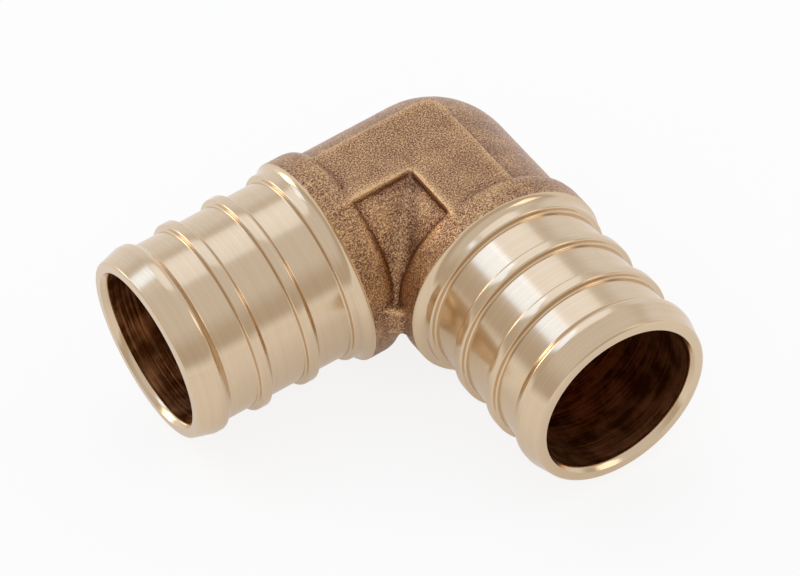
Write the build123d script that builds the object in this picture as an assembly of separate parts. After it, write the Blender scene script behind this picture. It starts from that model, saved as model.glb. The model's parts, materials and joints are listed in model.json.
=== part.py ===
from build123d import *
import math
import os

# PEX crimp elbow, 3/4 in nominal: one brass casting with a turned barb at each end.
# The bore axes lie along +X and +Y and cross at the origin. +Z is up, out of the flat pad.
# All lengths are in millimetres.

# Turned barbs, measured along each bore axis from the crossing point
centre_to_face = 27.6
bore_radius = 6.8
bored_depth = 17.4
neck_radius = 7.97
rib_height = 0.5
face_radius = 7.76
face_bevel = 0.1
face_bevel_rise = 0.13
mouth_bevel = 0.32
mouth_bevel_depth = 0.45
lead_cone_length = 1.75
tip_crest_width = 0.55
tip_back_slope = 0.75
rib_front = (21.8, 17.3, 12.95)
rib_width = 0.95
rib_back_slope = 0.22
rib_bevel = 0.12
foot_bevel = 0.12
last_rib_width = 0.6
cove_radius = 0.95

# Casting, about its own axes, which sit a little towards the crotch from the turned ones
cast_shift = 0.2
body_radius = 8.4
corner_centre = -0.3
collar_radius = 9.05
collar_rear = 9.0
collar_rear_round = 0.45
core_radius = 6.35
pad_outer = -2.7
pad_width = 6.1
pad_top = 8.6
pad_corner_round = 1.7
pad_edge_round = 0.35
crotch_fill = 1.0
web_thickness = 2.8
web_reach = 9.8

# Worked out from the sizes above
rib_radius = neck_radius + rib_height
bore_end = centre_to_face - bored_depth
clear_radius = collar_radius + cast_shift + rib_height
cove_start = rib_front[-1] - last_rib_width
shoulder = cove_start - cove_radius
mitre = Plane(origin=(0, 0, 0), z_dir=(1, -1, 0))
turning_plane = Plane(origin=(0, 0, 0), x_dir=(1, 0, 0), z_dir=(0, -1, 0))


def both_legs(leg):
    """The +X leg with its twin on +Y."""
    return leg + mirror(leg, about=mitre)


def tube(radius, start, end, shift):
    """Round bar along X, its axis moved by shift towards the crotch."""
    return Pos(start, shift, 0) * extrude(Plane.YZ * Circle(radius), end - start)


def barb_envelope():
    """What the lathe leaves of one leg: tip cone, ribs, last rib and the cove to the casting."""
    crest_front = centre_to_face - face_bevel - lead_cone_length
    crest_back = crest_front - tip_crest_width
    with BuildPart() as turned:
        with BuildSketch(turning_plane):
            with BuildLine():
                path = Polyline(
                    (centre_to_face, 0),
                    (centre_to_face, face_radius),
                    (centre_to_face - face_bevel, face_radius + face_bevel_rise),
                    (crest_front, rib_radius),
                    (crest_back, rib_radius),
                    (crest_back - tip_back_slope, neck_radius),
                )
                for front in rib_front[:-1]:
                    path = rib_profile(path @ 1, front)
                foot = Line(path @ 1, (rib_front[-1] + foot_bevel, neck_radius))
                crest = rib_rise(foot @ 1, rib_front[-1])
                land = Line(crest @ 1, (cove_start, rib_radius))
                cove = RadiusArc(land @ 1, (shoulder, rib_radius + cove_radius), cove_radius)
                Polyline(
                    cove @ 1,
                    (shoulder, clear_radius),
                    (0, clear_radius),
                    (0, 0),
                    (centre_to_face, 0),
                )
            make_face()
        revolve(axis=Axis.X)
    return turned.part


def rib_rise(start, front):
    """Steep front of a rib: bevel at the foot, flank and bevelled crest edge."""
    return Polyline(
        start,
        (front, neck_radius + foot_bevel),
        (front, rib_radius - rib_bevel),
        (front - rib_bevel, rib_radius),
    )


def rib_profile(start, front):
    """One rib from its foot on the tip side to its foot on the body side."""
    foot = Line(start, (front + foot_bevel, neck_radius))
    crest_edge = rib_rise(foot @ 1, front)
    crest = Line(crest_edge @ 1, (front - rib_width, rib_radius))
    return Line(crest @ 1, (front - rib_width - rib_back_slope, neck_radius))


def cast_tube(radius, reach):
    """L-shaped round bar of the casting, its outer corner swung about the corner's centre."""
    leg = tube(radius, corner_centre, reach, cast_shift)
    section_plane = Plane(origin=(corner_centre, 0, 0), x_dir=(0, 1, 0), z_dir=(1, 0, 0))
    outer_side = Pos(corner_centre - radius, 0) * Rectangle(2 * radius, 2 * radius)
    section = section_plane * ((Pos(cast_shift, 0) * Circle(radius)) & outer_side)
    corner_axis = Axis((corner_centre, corner_centre, 0), (0, 0, -1))
    corner = revolve(section, axis=corner_axis, revolution_arc=90)
    return both_legs(leg) + corner


def pads():
    """Flat L-shaped pad on the top, with its twin underneath."""
    length = collar_rear + collar_rear_round - pad_outer
    strip = Pos(pad_outer + length / 2, pad_outer + pad_width / 2) * Rectangle(length, pad_width)
    outline = strip + mirror(strip, about=mitre)
    slab = extrude(outline, pad_top, both=True)
    corner_edge = slab.edges().filter_by(Axis.Z).sort_by(Axis((0, 0, 0), (1, 1, 0)))[0]
    slab = fillet(corner_edge, pad_corner_round)
    rims = slab.faces().filter_by(Axis.Z).edges()
    return fillet(rims, pad_edge_round)


def leg_blank():
    """Cast collar and barb stock of one leg, rounded at the rear and turned to the barb."""
    stock = tube(collar_radius, collar_rear, centre_to_face, cast_shift)
    rear_edge = stock.faces().sort_by(Axis.X)[0].edges()
    return fillet(rear_edge, collar_rear_round) & barb_envelope()


def crotch():
    """Fill of the valley between the tubes and the thin web across the parting plane."""
    valley_plane = Plane(origin=(cast_shift, cast_shift, 0), x_dir=(1, 1, 0), z_dir=(1, -1, 0))
    valley = Ellipse(body_radius * math.sqrt(2) + crotch_fill, body_radius)
    outward = Pos(body_radius, 0) * Rectangle(2 * body_radius, 2 * body_radius)
    fill = extrude(valley_plane * (valley & outward), crotch_fill, both=True)
    corner = (core_radius, core_radius)
    far = 2 * web_reach - core_radius
    web_plan = Polyline(corner, (far, core_radius), (core_radius, far), corner)
    web = extrude(make_face(web_plan), web_thickness / 2, both=True)
    return fill + web


def waterway():
    """Bored barbs with bevelled mouths, and the cored passage that joins them."""
    bore = tube(bore_radius, bore_end, centre_to_face, 0)
    bevel_middle = centre_to_face - mouth_bevel_depth / 2
    bevel = Pos(bevel_middle, 0, 0) * Rotation(0, 90, 0) * Cone(
        bore_radius, bore_radius + mouth_bevel, mouth_bevel_depth
    )
    return both_legs(bore + bevel) + cast_tube(core_radius, bore_end)


body = cast_tube(body_radius, collar_rear + collar_rear_round) + pads()
elbow = body + both_legs(leg_blank()) + crotch() - waterway()

os.makedirs("parts", exist_ok=True)
export_step(elbow, "parts/crimp_elbow.step")
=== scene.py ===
import json
import math

import bmesh
import bpy
from mathutils import Matrix, Vector


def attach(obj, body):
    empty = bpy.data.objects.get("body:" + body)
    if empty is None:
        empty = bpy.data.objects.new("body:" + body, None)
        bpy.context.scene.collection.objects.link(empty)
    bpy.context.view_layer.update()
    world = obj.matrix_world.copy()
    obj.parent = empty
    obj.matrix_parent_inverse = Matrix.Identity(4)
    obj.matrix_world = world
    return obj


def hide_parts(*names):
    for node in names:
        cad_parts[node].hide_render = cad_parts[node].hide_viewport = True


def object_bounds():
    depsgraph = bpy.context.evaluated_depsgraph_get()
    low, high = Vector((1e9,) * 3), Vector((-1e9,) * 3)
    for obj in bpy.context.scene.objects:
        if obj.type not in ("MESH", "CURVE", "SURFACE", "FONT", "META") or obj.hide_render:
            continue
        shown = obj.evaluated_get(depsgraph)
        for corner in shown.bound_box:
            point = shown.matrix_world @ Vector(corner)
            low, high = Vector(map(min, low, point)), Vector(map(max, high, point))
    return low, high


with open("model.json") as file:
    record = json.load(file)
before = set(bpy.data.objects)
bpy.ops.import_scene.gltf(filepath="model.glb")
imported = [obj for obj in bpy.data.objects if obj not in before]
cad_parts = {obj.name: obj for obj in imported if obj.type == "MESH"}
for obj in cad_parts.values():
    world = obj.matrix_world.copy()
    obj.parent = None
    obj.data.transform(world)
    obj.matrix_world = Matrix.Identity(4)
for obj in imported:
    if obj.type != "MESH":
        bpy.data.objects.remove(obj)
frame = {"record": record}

cad_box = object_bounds()


# ---------------------------------------------------------------------------------------
# The casting. The elbow starts as one sand casting in plumbing brass: two round legs meet in
# a corner, with a flat pad above and below for gripping, a collar at the root of each leg
# and a small web in the crotch. The sand leaves a grainy skin and soft edges.
# ---------------------------------------------------------------------------------------
MM = 0.001
centre_to_face = cad_box[1].x
cast_shift = 0.2 * MM
body_radius = 8.4 * MM
corner_centre = -0.3 * MM
collar_radius = 9.05 * MM
collar_rear = 9.0 * MM
collar_lead = 0.35 * MM
collar_swell = 1.15 * MM
collar_sink = 0.1 * MM
core_radius = 6.35 * MM
pad_outer = -2.7 * MM
pad_inner = 3.4 * MM
pad_top = 8.6 * MM
pad_corner_round = 1.7 * MM
crotch_fill = 0.9 * MM
web_half_thickness = 1.4 * MM
web_reach = 9.8 * MM
overlap = 1.0 * MM
sand_voxel = 0.18 * MM
softening_passes = 3
edge_passes = 12

# The first lays a shape drawn upright along the X leg, and the second carries that leg over to Y.
leg_x = Matrix(((0, 0, 1, 0), (1, 0, 0, 0), (0, 1, 0, 0), (0, 0, 0, 1)))
swap_xy = Matrix(((0, 1, 0, 0), (1, 0, 0, 0), (0, 0, 1, 0), (0, 0, 0, 1)))


def ring(radius, centre=(0.0, 0.0), start=0, stop=360, steps=96):
    """Points of an arc in a plane, in degrees; a full turn leaves its last point out."""
    count = steps if stop - start == 360 else steps + 1
    angles = [math.radians(start + (stop - start) * i / steps) for i in range(count)]
    return [(centre[0] + radius * math.cos(a), centre[1] + radius * math.sin(a)) for a in angles]


def loft(mesh, place, *sections):
    """Closed bar through like sections, each an outline and its height on the local Z of place."""
    rings = [[mesh.verts.new(place @ Vector((u, v, height))) for u, v in outline]
             for outline, height in sections]
    for low, high in zip(rings, rings[1:]):
        for i in range(len(low)):
            mesh.faces.new((low[i - 1], low[i], high[i], high[i - 1]))
    mesh.faces.new(rings[0])
    mesh.faces.new(rings[-1])


def prism(mesh, outline, low, high, place):
    """Closed straight bar with the given outline, from low to high along the local Z of place."""
    loft(mesh, place, (outline, low), (outline, high))


def turned_corner(mesh, radius):
    """Outer corner of the elbow: the legs' section spun a quarter turn about the corner's centre."""
    overhang = corner_centre - cast_shift
    half = math.degrees(math.acos(overhang / radius))
    section = ring(radius, (cast_shift, 0.0), half, 360 - half)
    verts = [mesh.verts.new((corner_centre, y, z)) for y, z in section]
    face = mesh.faces.new(verts)
    bmesh.ops.spin(mesh, geom=[face], cent=(corner_centre, corner_centre, 0), axis=(0, 0, 1),
                   angle=-math.pi / 2, steps=24, use_duplicate=False)


def pad_outline():
    """The L of the pad in plan, its outer corner rounded."""
    far = collar_rear + pad_corner_round
    centre = pad_outer + pad_corner_round
    corner = ring(pad_corner_round, (centre, centre), 180, 270, steps=8)
    inside = [(far, pad_outer), (far, pad_inner), (pad_inner, pad_inner), (pad_inner, far)]
    return [(pad_outer, far)] + corner + inside


def collar_sections():
    """Rings of a collar, which swells out of the leg in a quarter round and runs on past the face."""
    root = body_radius - collar_sink
    swell = [(ring(root + (collar_radius - root) * math.sin(t), (cast_shift, 0.0)),
              collar_rear - collar_lead + collar_swell * (1 - math.cos(t)))
             for t in (0, math.pi / 6, math.pi / 3, math.pi / 2)]
    return swell + [(ring(collar_radius, (cast_shift, 0.0)), centre_to_face + overlap)]


def new_piece(name, mesh):
    """Puts a finished bmesh into the scene with its faces pointing outwards."""
    bmesh.ops.recalc_face_normals(mesh, faces=mesh.faces)
    data = bpy.data.meshes.new(name)
    mesh.to_mesh(data)
    mesh.free()
    piece = bpy.data.objects.new(name, data)
    bpy.context.collection.objects.link(piece)
    return piece


def casting_parts():
    """The plain bodies that make up the casting, overlapping each other."""
    mesh = bmesh.new()
    for side in (Matrix(), swap_xy):
        leg = side @ leg_x
        prism(mesh, ring(body_radius, (cast_shift, 0.0)), corner_centre, collar_rear + overlap, leg)
        loft(mesh, leg, *collar_sections())
    turned_corner(mesh, body_radius)
    prism(mesh, pad_outline(), -pad_top, pad_top, Matrix())
    # A stretched half round across the mitre fills the crease between the legs.
    valley_axes = Matrix(((1, 0, 1), (1, 0, -1), (0, 1, 0))).to_4x4()
    valley = Matrix.Translation((cast_shift, cast_shift, 0)) @ valley_axes
    half_fill = crotch_fill / math.sqrt(2)
    reach = body_radius + half_fill
    arc = [(reach * u / body_radius, v) for u, v in ring(body_radius, start=-90, stop=90)]
    prism(mesh, arc, -half_fill, half_fill, valley)
    # The web is a three-cornered plate at mid height, its long edge across the crotch.
    far = 2 * web_reach - core_radius
    web = [(core_radius, core_radius), (far, core_radius), (core_radius, far)]
    prism(mesh, web, -web_half_thickness, web_half_thickness, Matrix())
    return new_piece("casting", mesh)


def linear(colour):
    """An sRGB hex colour as linear red, green, blue and alpha."""
    parts = [int(colour[i:i + 2], 16) / 255 for i in (1, 3, 5)]
    return [c / 12.92 if c <= 0.04045 else ((c + 0.055) / 1.055) ** 2.4 for c in parts] + [1.0]


def add_node(tree, kind, sockets=None, stops=(), **settings):
    """Adds a node with its settings, fills or links the sockets named, and colours any ramp's stops."""
    made = tree.nodes.new(kind)
    for name, value in settings.items():
        setattr(made, name, value)
    for key, value in (sockets or {}).items():
        if isinstance(value, bpy.types.NodeSocket):
            tree.links.new(value, made.inputs[key])
        else:
            made.inputs[key].default_value = value
    for i, (position, colour) in enumerate(stops):
        bands = made.color_ramp.elements
        band = bands[i] if i < 2 else bands.new(position)
        band.position = position
        band.color = linear(colour)
    return made


def new_tree(name, sizes):
    """Geometry tree with a mesh in, a mesh out and the sizes given as named inputs."""
    tree = bpy.data.node_groups.new(name, "GeometryNodeTree")
    tree.interface.new_socket("Mesh", in_out="INPUT", socket_type="NodeSocketGeometry")
    tree.interface.new_socket("Mesh", in_out="OUTPUT", socket_type="NodeSocketGeometry")
    for label, kind in sizes.items():
        tree.interface.new_socket(label, in_out="INPUT", socket_type=kind)
    return tree, tree.nodes.new("NodeGroupInput").outputs


def end_tree(tree, mesh, material):
    """Ends a geometry tree in real geometry with its material."""
    real = add_node(tree, "GeometryNodeRealizeInstances", {"Geometry": mesh})
    painted = add_node(tree, "GeometryNodeSetMaterial",
                       {"Geometry": real.outputs["Geometry"], "Material": material})
    add_node(tree, "NodeGroupOutput", {"Mesh": painted.outputs["Geometry"]})


def run_tree(piece, tree, **values):
    """Puts the tree on the piece with its inputs set by their identifiers."""
    modifier = piece.modifiers.new(tree.name, "NODES")
    modifier.node_group = tree
    for item in tree.interface.items_tree:
        if item.in_out == "INPUT" and item.name in values:
            modifier[item.identifier] = values[item.name]


def settle(piece):
    """Turns the piece with its modifiers into a plain mesh."""
    depsgraph = bpy.context.evaluated_depsgraph_get()
    mesh = bpy.data.meshes.new_from_object(piece.evaluated_get(depsgraph))
    piece.modifiers.clear()
    piece.data = mesh
    return piece


def new_metal(name, roughness):
    """An empty metal material: its tree, its shader and the piece's own coordinates."""
    material = bpy.data.materials.new(name)
    material.use_nodes = True
    tree = material.node_tree
    shader = tree.nodes["Principled BSDF"]
    shader.inputs["Metallic"].default_value = 1.0
    shader.inputs["Roughness"].default_value = roughness
    place = tree.nodes.new("ShaderNodeTexCoord").outputs["Object"]
    return material, tree, shader, place


def finish_metal(tree, shader, colour, height, depth, strength):
    """Gives the shader its colour and the small relief that breaks up its highlights."""
    bump = add_node(tree, "ShaderNodeBump", {"Height": height, "Distance": depth, "Strength": strength})
    tree.links.new(colour, shader.inputs["Base Color"])
    tree.links.new(bump.outputs["Normal"], shader.inputs["Normal"])


def sand_cast_brass():
    """Brass as it leaves the sand: golden-brown grain, lighter on raised edges as rubbed brass and
    painted highlight, darker in hollows as painted shade, and a painted mauve reflection on the steep
    outer sides.
    """
    grain = 0.13 * MM
    blotch = 2.2 * MM
    material, tree, shader, place = new_metal("sand_cast_brass", roughness=0.34)
    fine = add_node(tree, "ShaderNodeTexNoise", {
        "Vector": place, "Scale": 1 / grain, "Detail": 2.5, "Roughness": 0.65})
    broad = add_node(tree, "ShaderNodeTexNoise", {"Vector": place, "Scale": 1 / blotch, "Detail": 3.0})
    mixed = add_node(tree, "ShaderNodeMix", {
        "Factor": 0.14, "A": fine.outputs["Fac"], "B": broad.outputs["Fac"]})
    relief = add_node(tree, "ShaderNodeAttribute", attribute_name="relief")
    # The relief shift paints light into the colour. Raised edges come out paler, partly rubbed brass and
    # partly painted highlight. Hollows and creases come out darker as painted shade.
    wear_sheen_and_hollow_shade = add_node(tree, "ShaderNodeMapRange", {
        "Value": relief.outputs["Fac"], "From Min": -0.04, "From Max": 0.14,
        "To Min": -0.04, "To Max": 0.14})
    shade = add_node(tree, "ShaderNodeMath", {0: mixed.outputs["Result"], 1: wear_sheen_and_hollow_shade.outputs["Result"]})
    grains_with_painted_light = add_node(tree, "ShaderNodeValToRGB", {"Fac": shade.outputs[0]},
                      stops=((0.37, "#5a3a30"), (0.5, "#a47b5b"), (0.63, "#e4ba88")))
    # Painted reflection: steep sides away from the crotch are mixed toward a pale mauve, standing in for
    # cool light seen at a grazing angle.
    steep = add_node(tree, "ShaderNodeAttribute", attribute_name="steep")
    inward = add_node(tree, "ShaderNodeVectorMath", {0: place, 1: (1, 1, 0)}, operation="DOT_PRODUCT")
    outer = add_node(tree, "ShaderNodeMapRange", {
        "Value": inward.outputs["Value"], "From Min": 12 * MM, "From Max": 4 * MM, "To Max": 0.6})
    painted_sheen_share = add_node(tree, "ShaderNodeMath", {
        0: outer.outputs["Result"], 1: steep.outputs["Fac"]}, operation="MULTIPLY")
    skin = add_node(tree, "ShaderNodeMix", {
        "Factor": painted_sheen_share.outputs[0], "A": grains_with_painted_light.outputs["Color"], "B": linear("#c9a698")},
        data_type="RGBA")
    finish_metal(tree, shader, skin.outputs["Result"], fine.outputs["Fac"], depth=0.1 * MM, strength=0.6)
    return material


def sand_skin(material):
    """Tree that roughens a mesh along its normals as sand does, and marks edges and steep sides."""
    tree, inputs = new_tree("sand_skin", {"Grain": "NodeSocketFloat", "Depth": "NodeSocketFloat",
                                          "Seed": "NodeSocketFloat"})
    sunk = 0.75
    scale = add_node(tree, "ShaderNodeMath", {0: 1.0, 1: inputs["Grain"]}, operation="DIVIDE")
    noise = add_node(tree, "ShaderNodeTexNoise", {
        "W": inputs["Seed"], "Scale": scale.outputs[0], "Detail": 2.0}, noise_dimensions="4D")
    below = add_node(tree, "ShaderNodeMath", {0: noise.outputs["Fac"], 1: sunk}, operation="SUBTRACT")
    depth = add_node(tree, "ShaderNodeMath", {0: below.outputs[0], 1: inputs["Depth"]},
                     operation="MULTIPLY")
    normal = tree.nodes.new("GeometryNodeInputNormal").outputs["Normal"]
    shift = add_node(tree, "ShaderNodeVectorMath", {0: normal, "Scale": depth.outputs[0]},
                     operation="SCALE")
    position = tree.nodes.new("GeometryNodeInputPosition").outputs["Position"]
    smooth = add_node(tree, "GeometryNodeBlurAttribute", {
        "Value": position, "Iterations": edge_passes}, data_type="FLOAT_VECTOR")
    proud = add_node(tree, "ShaderNodeVectorMath", {0: position, 1: smooth.outputs["Value"]},
                     operation="SUBTRACT")
    along = add_node(tree, "ShaderNodeVectorMath", {0: proud.outputs[0], 1: normal},
                     operation="DOT_PRODUCT")
    relief = add_node(tree, "ShaderNodeMath", {0: along.outputs["Value"], 1: MM}, operation="DIVIDE")
    facing = add_node(tree, "ShaderNodeSeparateXYZ", {"Vector": normal})
    upright = add_node(tree, "ShaderNodeMath", {0: facing.outputs["Z"]}, operation="ABSOLUTE")
    steep = add_node(tree, "ShaderNodeMath", {0: 1.0, 1: upright.outputs[0]}, operation="SUBTRACT")
    mesh = inputs["Mesh"]
    for name, value in (("relief", relief), ("steep", steep)):
        marked = add_node(tree, "GeometryNodeStoreNamedAttribute", {
            "Geometry": mesh, "Name": name, "Value": value.outputs[0]}, data_type="FLOAT", domain="POINT")
        mesh = marked.outputs["Geometry"]
    moved = add_node(tree, "GeometryNodeSetPosition", {"Geometry": mesh, "Offset": shift.outputs[0]})
    end_tree(tree, moved.outputs["Geometry"], material)
    return tree


elbow = casting_parts()
fuse = elbow.modifiers.new("one_casting", "REMESH")
fuse.mode = "VOXEL"
fuse.voxel_size = sand_voxel
soften = elbow.modifiers.new("soft_edges", "SMOOTH")
soften.factor = 0.5
soften.iterations = softening_passes
run_tree(elbow, sand_skin(sand_cast_brass()), Grain=0.4 * MM, Depth=0.05 * MM, Seed=3.0)
settle(elbow)


# ---------------------------------------------------------------------------------------
# The turned barbs. Each leg is chucked and turned from the cast stock: faced, coned at the
# tip, cut down to leave the tip and three ribs for the tube to grip, and coved up to the
# cast collar. The tool leaves fine rings round the leg and a bright satin brass.
# ---------------------------------------------------------------------------------------
mounts = {mount["name"]: mount for mount in frame["record"]["mounts"]}
rib_radius = mounts["barb_x"]["dims"]["r_mm"] * MM
rib_height = 0.5 * MM
neck_radius = rib_radius - rib_height
face_radius = 7.8 * MM
face_round = 0.12 * MM
face_flare = 0.18 * MM
lead_cone_length = 1.75 * MM
tip_crest_width = 0.7 * MM
tip_crest_round = 0.54 * MM
tip_back_slope = 0.6 * MM
rib_fronts = (21.8 * MM, 17.3 * MM, 12.95 * MM)
rib_width = 0.95 * MM
rib_back_slope = 0.3 * MM
last_rib_width = 0.6 * MM
rib_round = 0.18 * MM
foot_round = 0.16 * MM
cove_radius = 0.95 * MM
swarf_radius = 11.0 * MM
swarf_end = centre_to_face + 2 * overlap
lathe_steps = 160
cove_start = rib_fronts[-1] - last_rib_width
shoulder = cove_start - cove_radius
crest_front = centre_to_face - face_round - lead_cone_length
crest_back = crest_front - tip_crest_width


def barb_cut():
    """Line of the lathe tool from the face to the cove: along, out from the axis, corner radius."""
    line = [
        (centre_to_face, 0, 0),
        (centre_to_face, face_radius, face_round),
        (centre_to_face - face_round, face_radius + face_flare, face_round),
        (crest_front, rib_radius, tip_crest_round),
        (crest_back, rib_radius, tip_crest_round),
        (crest_back - tip_back_slope, neck_radius, foot_round),
    ]
    for front in rib_fronts[:-1]:
        back = front - rib_width
        line += [
            (front, neck_radius, foot_round),
            (front, rib_radius, rib_round),
            (back, rib_radius, rib_round),
            (back - rib_back_slope, neck_radius, foot_round),
        ]
    return line + [
        (rib_fronts[-1], neck_radius, foot_round),
        (rib_fronts[-1], rib_radius, rib_round),
        (shoulder, rib_radius, cove_radius),
        (shoulder, swarf_radius, 0),
        (swarf_end, swarf_radius, 0),
        (swarf_end, 0, 0),
    ]


def tool_line(name, line):
    """A cutting line as an edge mesh, with the radius of each corner as an attribute."""
    data = bpy.data.meshes.new(name)
    edges = [(i, i + 1) for i in range(len(line) - 1)]
    data.from_pydata([(along, out, 0) for along, out, _ in line], edges, [])
    rounds = data.attributes.new("round", "FLOAT", "POINT")
    for item, (_, _, radius) in zip(rounds.data, line):
        item.value = radius
    piece = bpy.data.objects.new(name, data)
    bpy.context.collection.objects.link(piece)
    return piece


def lathe(material, name):
    """Tree that rounds a cutting line's corners and turns it about the X axis."""
    weld = 0.001 * MM
    tree, inputs = new_tree(name, {"Steps": "NodeSocketInt"})
    curve = add_node(tree, "GeometryNodeMeshToCurve", {"Mesh": inputs["Mesh"]})
    radius = add_node(tree, "GeometryNodeInputNamedAttribute", {"Name": "round"}, data_type="FLOAT")
    rounded = add_node(tree, "GeometryNodeFilletCurve", {
        "Curve": curve.outputs["Curve"], "Count": 5, "Radius": radius.outputs["Attribute"],
        "Limit Radius": True}, mode="POLY")
    size = add_node(tree, "GeometryNodeAttributeDomainSize", {"Geometry": rounded.outputs["Curve"]},
                    component="CURVE")
    around = add_node(tree, "ShaderNodeMath", {0: inputs["Steps"], 1: 1}, operation="ADD")
    grid = add_node(tree, "GeometryNodeMeshGrid", {
        "Vertices X": around.outputs[0], "Vertices Y": size.outputs["Point Count"]})
    parts = add_node(tree, "ShaderNodeSeparateXYZ", {"Vector": grid.outputs["UV Map"]})
    last = add_node(tree, "ShaderNodeMath", {0: size.outputs["Point Count"], 1: 1}, operation="SUBTRACT")
    row = add_node(tree, "ShaderNodeMath", {0: parts.outputs["Y"], 1: last.outputs[0]},
                   operation="MULTIPLY")
    index = add_node(tree, "ShaderNodeMath", {0: row.outputs[0]}, operation="ROUND")
    position = tree.nodes.new("GeometryNodeInputPosition").outputs["Position"]
    sample = add_node(tree, "GeometryNodeSampleIndex", {
        "Geometry": rounded.outputs["Curve"], "Value": position, "Index": index.outputs[0]},
        data_type="FLOAT_VECTOR", domain="POINT")
    profile = add_node(tree, "ShaderNodeSeparateXYZ", {"Vector": sample.outputs["Value"]})
    angle = add_node(tree, "ShaderNodeMath", {0: parts.outputs["X"], 1: 2 * math.pi},
                     operation="MULTIPLY")
    cosine = add_node(tree, "ShaderNodeMath", {0: angle.outputs[0]}, operation="COSINE")
    sine = add_node(tree, "ShaderNodeMath", {0: angle.outputs[0]}, operation="SINE")
    out_y = add_node(tree, "ShaderNodeMath", {0: profile.outputs["Y"], 1: cosine.outputs[0]},
                     operation="MULTIPLY")
    out_z = add_node(tree, "ShaderNodeMath", {0: profile.outputs["Y"], 1: sine.outputs[0]},
                     operation="MULTIPLY")
    place = add_node(tree, "ShaderNodeCombineXYZ", {
        "X": profile.outputs["X"], "Y": out_y.outputs[0], "Z": out_z.outputs[0]})
    turned = add_node(tree, "GeometryNodeSetPosition", {
        "Geometry": grid.outputs["Mesh"], "Position": place.outputs["Vector"]})
    closed = add_node(tree, "GeometryNodeMergeByDistance", {
        "Geometry": turned.outputs["Geometry"], "Distance": weld})
    end_tree(tree, closed.outputs["Geometry"], material)
    return tree


def turn(name, line, material, along_y=False):
    """A closed body of revolution cut by the line, about X or, mirrored over, about Y."""
    piece = tool_line(name, line)
    run_tree(piece, lathe(material, "lathe_" + name), Steps=lathe_steps)
    settle(piece)
    if along_y:
        piece.data.transform(swap_xy)
    mesh = bmesh.new()
    mesh.from_mesh(piece.data)
    bmesh.ops.recalc_face_normals(mesh, faces=mesh.faces)
    mesh.to_mesh(piece.data)
    mesh.free()
    return piece


def tool_rings(tree, place, along_y, pitch, streak):
    """Noise drawn out round the leg's axis: a tool's marks at the pitch, streak long round the leg."""
    turned_over = add_node(tree, "ShaderNodeMapping", {
        "Vector": place, "Rotation": (0, 0, -math.pi / 2 if along_y else 0)})
    squashed = add_node(tree, "ShaderNodeVectorMath", {
        0: turned_over.outputs["Vector"], 1: (1 / pitch, 1 / streak, 1 / streak)}, operation="MULTIPLY")
    noise = add_node(tree, "ShaderNodeTexNoise", {
        "Vector": squashed.outputs["Vector"], "Scale": 1.0, "Detail": 2.0})
    return noise.outputs["Fac"]


def turned_brass(name, along_y):
    """Freshly turned brass: pale satin gold whose tool rings draw highlights out along the leg."""
    material, tree, shader, place = new_metal(name, roughness=0.15)
    rings = tool_rings(tree, place, along_y, pitch=0.09 * MM, streak=25 * MM)
    satin = add_node(tree, "ShaderNodeValToRGB", {"Fac": rings},
                     stops=((0.3, "#d8bfa0"), (0.7, "#ddc6a7")))
    finish_metal(tree, shader, satin.outputs["Color"], rings, depth=0.001 * MM, strength=0.08)
    tangent = add_node(tree, "ShaderNodeTangent", direction_type="RADIAL", axis="Y" if along_y else "X")
    tree.links.new(tangent.outputs["Tangent"], shader.inputs["Tangent"])
    shader.inputs["Anisotropic"].default_value = 0.6
    return material


turned_finish = (turned_brass("turned_brass_x", False), turned_brass("turned_brass_y", True))
cuts = [turn("swarf_x", barb_cut(), turned_finish[0]),
        turn("swarf_y", barb_cut(), turned_finish[1], along_y=True)]


# ---------------------------------------------------------------------------------------
# The waterway. A sand core leaves a round passage that turns the corner inside the casting,
# and each leg is then bored out from its face and bevelled at the mouth. Inside, the brass colour is
# painted darker as shade, with blotches of painted copper glint, and it mirrors little but itself, so it
# goes deep orange-brown.
# ---------------------------------------------------------------------------------------
bore_radius = mounts["bore_x"]["dims"]["r_mm"] * MM
bored_depth = 17.4 * MM
mouth_bevel = 0.32 * MM
mouth_bevel_depth = 0.45 * MM
mouth_round = 0.8 * MM
mouth_start = centre_to_face - 3 * mouth_bevel_depth
clear_of_bore = 0.02 * MM
bore_end = centre_to_face - bored_depth


def bored_brass(name, along_y):
    """Bored wall: the same brass painted darker as shade, in blotches of painted copper glint. Its rings
    are drawn coarser than real so they show.
    """
    patch = 2.0 * MM
    material, tree, shader, place = new_metal(name, roughness=0.36)
    rings = tool_rings(tree, place, along_y, pitch=0.25 * MM, streak=8.333 * MM)
    # Painted light: broad blotches swing the wall's colour between a dark brown, which is painted shade,
    # and a bright copper, which is painted glints.
    glint_patches = add_node(tree, "ShaderNodeTexNoise", {"Vector": place, "Scale": 1 / patch, "Detail": 2.0})
    mixed = add_node(tree, "ShaderNodeMix", {
        "Factor": 0.6, "A": rings, "B": glint_patches.outputs["Fac"]})
    painted_shade_and_glints = add_node(tree, "ShaderNodeValToRGB", {"Fac": mixed.outputs["Result"]},
                       stops=((0.42, "#87552a"), (0.62, "#f2bb86")))
    finish_metal(tree, shader, painted_shade_and_glints.outputs["Color"], rings, depth=0.04 * MM, strength=0.9)
    return material


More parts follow.
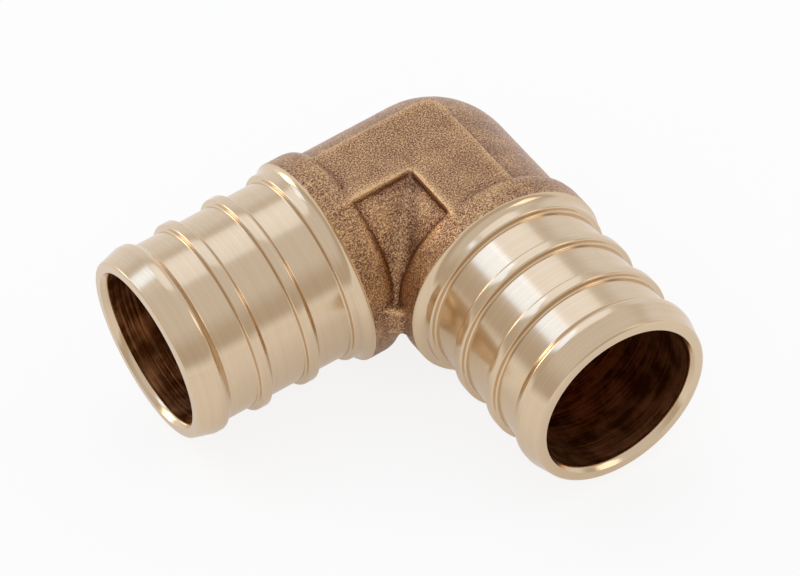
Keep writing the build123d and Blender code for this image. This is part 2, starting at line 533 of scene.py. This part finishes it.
bore_line = [
    (bore_end, 0, 0),
    (bore_end, bore_radius, 0),
    (centre_to_face + overlap, bore_radius, 0),
    (centre_to_face + overlap, 0, 0),
]
mouth_line = [
    (mouth_start, 0, 0),
    (mouth_start, bore_radius - clear_of_bore, 0),
    (centre_to_face - mouth_bevel_depth, bore_radius, mouth_round),
    (centre_to_face + mouth_bevel_depth, bore_radius + 2 * mouth_bevel, 0),
    (centre_to_face + mouth_bevel_depth, 0, 0),
]
core_line = [
    (corner_centre, 0, 0),
    (corner_centre, core_radius, 0),
    (bore_end + overlap, core_radius, 0),
    (bore_end + overlap, 0, 0),
]
bored_finish = (bored_brass("bored_brass_x", False), bored_brass("bored_brass_y", True))
cuts += [turn("bore_x", bore_line, bored_finish[0]),
         turn("bore_y", bore_line, bored_finish[1], along_y=True)]
for side in (False, True):
    cuts.append(turn("mouth_y" if side else "mouth_x", mouth_line, turned_finish[side], along_y=side))
    core = turn("core_y" if side else "core_x", core_line, bored_finish[0], along_y=side)
    core.data.transform(Matrix.Translation((cast_shift, 0, 0) if side else (0, cast_shift, 0)))
    cuts.append(core)
corner_mesh = bmesh.new()
turned_corner(corner_mesh, core_radius)
core_corner = new_piece("core_corner", corner_mesh)
core_corner.data.materials.append(bored_finish[0])
cuts.append(core_corner)


# ---------------------------------------------------------------------------------------
# The finished elbow. Every cut is taken from the casting in turn and leaves its own finish
# on the metal it bares. It stays one piece of brass, with crisp edges where a tool left them.
# ---------------------------------------------------------------------------------------
crisp_edge = math.radians(32)
for cut in cuts:
    machining = elbow.modifiers.new(cut.name, "BOOLEAN")
    machining.operation = "DIFFERENCE"
    machining.solver = "MANIFOLD"
    machining.material_mode = "TRANSFER"
    machining.object = cut
settle(elbow)
for cut in cuts:
    bpy.data.objects.remove(cut)
elbow.name = "elbow_finished"
elbow.data.shade_smooth()
elbow.data.set_sharp_from_angle(angle=crisp_edge)
even = elbow.modifiers.new("even_normals", "WEIGHTED_NORMAL")
even.keep_sharp = True
settle(elbow)

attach(elbow, "root")
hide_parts("crimp_elbow")


# ---------------------------------------------------------------------------------------
# The table: a wide sheet of matt white card just under the elbow. It stays white under any
# lamp and still takes the elbow's soft shadow.
# ---------------------------------------------------------------------------------------
table_half = 1.2
table_gap = 0.01 * MM
table_mesh = bmesh.new()
bmesh.ops.create_grid(table_mesh, x_segments=1, y_segments=1, size=table_half,
                      matrix=Matrix.Translation((0, 0, cad_box[0].z - table_gap)))
table = new_piece("table", table_mesh)


def white_card():
    """Matt white card, near its own white to the camera; in the brass it shows more of its shadow."""
    own_white = 0.85
    mirrored_white = 0.4
    material = bpy.data.materials.new("white_card")
    material.use_nodes = True
    tree = material.node_tree
    card = tree.nodes["Principled BSDF"]
    card.inputs["Base Color"].default_value = linear("#ffffff")
    card.inputs["Roughness"].default_value = 1.0
    rays = tree.nodes.new("ShaderNodeLightPath").outputs
    bent = add_node(tree, "ShaderNodeMath", {0: rays["Is Glossy Ray"], 1: rays["Is Transmission Ray"]},
                    operation="MAXIMUM")
    mirrored = add_node(tree, "ShaderNodeMath", {0: bent.outputs[0], 1: mirrored_white},
                        operation="MULTIPLY")
    direct = add_node(tree, "ShaderNodeMath", {0: rays["Is Camera Ray"], 1: own_white},
                      operation="MULTIPLY")
    share = add_node(tree, "ShaderNodeMath", {0: direct.outputs[0], 1: mirrored.outputs[0]},
                     operation="MAXIMUM")
    white = add_node(tree, "ShaderNodeEmission", {"Color": linear("#ffffff"), "Strength": 1.0})
    mixed = add_node(tree, "ShaderNodeMixShader", {
        0: share.outputs[0], 1: card.outputs[0], 2: white.outputs[0]})
    tree.links.new(mixed.outputs[0], tree.nodes["Material Output"].inputs["Surface"])
    return material


table.data.materials.append(white_card())


# ---------------------------------------------------------------------------------------
# The light. White studio walls with a greyer band at mid height stand all round, and four
# square soft lamps give the brass its bright panels and the edges their thin gold lines.
# ---------------------------------------------------------------------------------------
world = bpy.data.worlds.new("studio")
bpy.context.scene.world = world
world.use_nodes = True
air = world.node_tree
lamp_distance = 0.5
toward_back = (-0.62, -0.79, 0.0)
compass = air.nodes.new("ShaderNodeTexCoord").outputs["Generated"]
height = add_node(air, "ShaderNodeSeparateXYZ", {"Vector": compass}).outputs["Z"]
behind = add_node(air, "ShaderNodeVectorMath", {0: compass, 1: toward_back}, operation="DOT_PRODUCT")
back_wall = add_node(air, "ShaderNodeValToRGB", {"Fac": height}, stops=(
    (0.0, "#f4f8ff"), (0.3, "#f2f6ff"), (0.52, "#dbdad9"), (0.62, "#e6e7ea"), (0.8, "#eef1fa")))
front_wall = add_node(air, "ShaderNodeValToRGB", {"Fac": height}, stops=(
    (0.0, "#ffffff"), (0.1, "#f4f6fa"), (0.24, "#c9c1b8"), (0.5, "#cdc6be"), (0.75, "#e4e5e8")))
side = add_node(air, "ShaderNodeMapRange", {
    "Value": behind.outputs["Value"], "From Min": 0.3, "From Max": 0.7}, interpolation_type="SMOOTHSTEP")
walls = add_node(air, "ShaderNodeMix", {
    "Factor": side.outputs["Result"], "A": front_wall.outputs["Color"], "B": back_wall.outputs["Color"]},
    data_type="RGBA")
air.links.new(walls.outputs["Result"], air.nodes["Background"].inputs["Color"])
air.nodes["Background"].inputs["Strength"].default_value = 1.0


def toward(azimuth, elevation):
    """Direction from the elbow, given in degrees round from +X and up from the table."""
    turn_to, rise = math.radians(azimuth), math.radians(elevation)
    return Vector((math.cos(turn_to) * math.cos(rise), math.sin(turn_to) * math.cos(rise),
                   math.sin(rise)))


def softbox(name, azimuth, elevation, width, radiance, tint):
    """A square soft lamp that stands off in the direction given and faces the elbow."""
    data = bpy.data.lights.new(name, "AREA")
    data.shape = "SQUARE"
    data.size = width
    data.energy = radiance * math.pi * width * width
    data.color = linear(tint)[:3]
    lamp = bpy.data.objects.new(name, data)
    way = toward(azimuth, elevation)
    lamp.location = way * lamp_distance
    lamp.rotation_euler = way.to_track_quat("Z", "Y").to_euler()
    bpy.context.collection.objects.link(lamp)


softbox("key_box", -62, 46, 0.2, 1.35, "#a9cdff")
softbox("rim_box", -62, 18, 0.2, 3.0, "#fff2e0")
softbox("fill_box", 145, 37, 0.2, 1.2, "#fff6ea")
softbox("top_box", -108, 59, 0.36, 0.5, "#cfe2ff")


# ---------------------------------------------------------------------------------------
# The camera: a long lens that looks down into the crotch of the elbow, with both mouths
# open to it. It leans a little to one side.
# ---------------------------------------------------------------------------------------
aim = Vector((7.48, 6.79, 0.0)) * MM
back = toward(62.98, 48.22)
camera_roll = math.radians(7.73)
camera_distance = 393.2 * MM
lens_data = bpy.data.cameras.new("long_lens")
lens_data.sensor_width = 36.0
lens_data.lens = 218.1
lens_data.clip_start = 0.01
camera = bpy.data.objects.new("camera", lens_data)
look = (-back).to_track_quat("-Z", "Y").to_matrix().to_4x4()
camera.matrix_world = (Matrix.Translation(aim + back * camera_distance) @ look
                       @ Matrix.Rotation(-camera_roll, 4, "Z"))
bpy.context.collection.objects.link(camera)
bpy.context.scene.camera = camera
bpy.context.scene.view_settings.view_transform = "Standard"
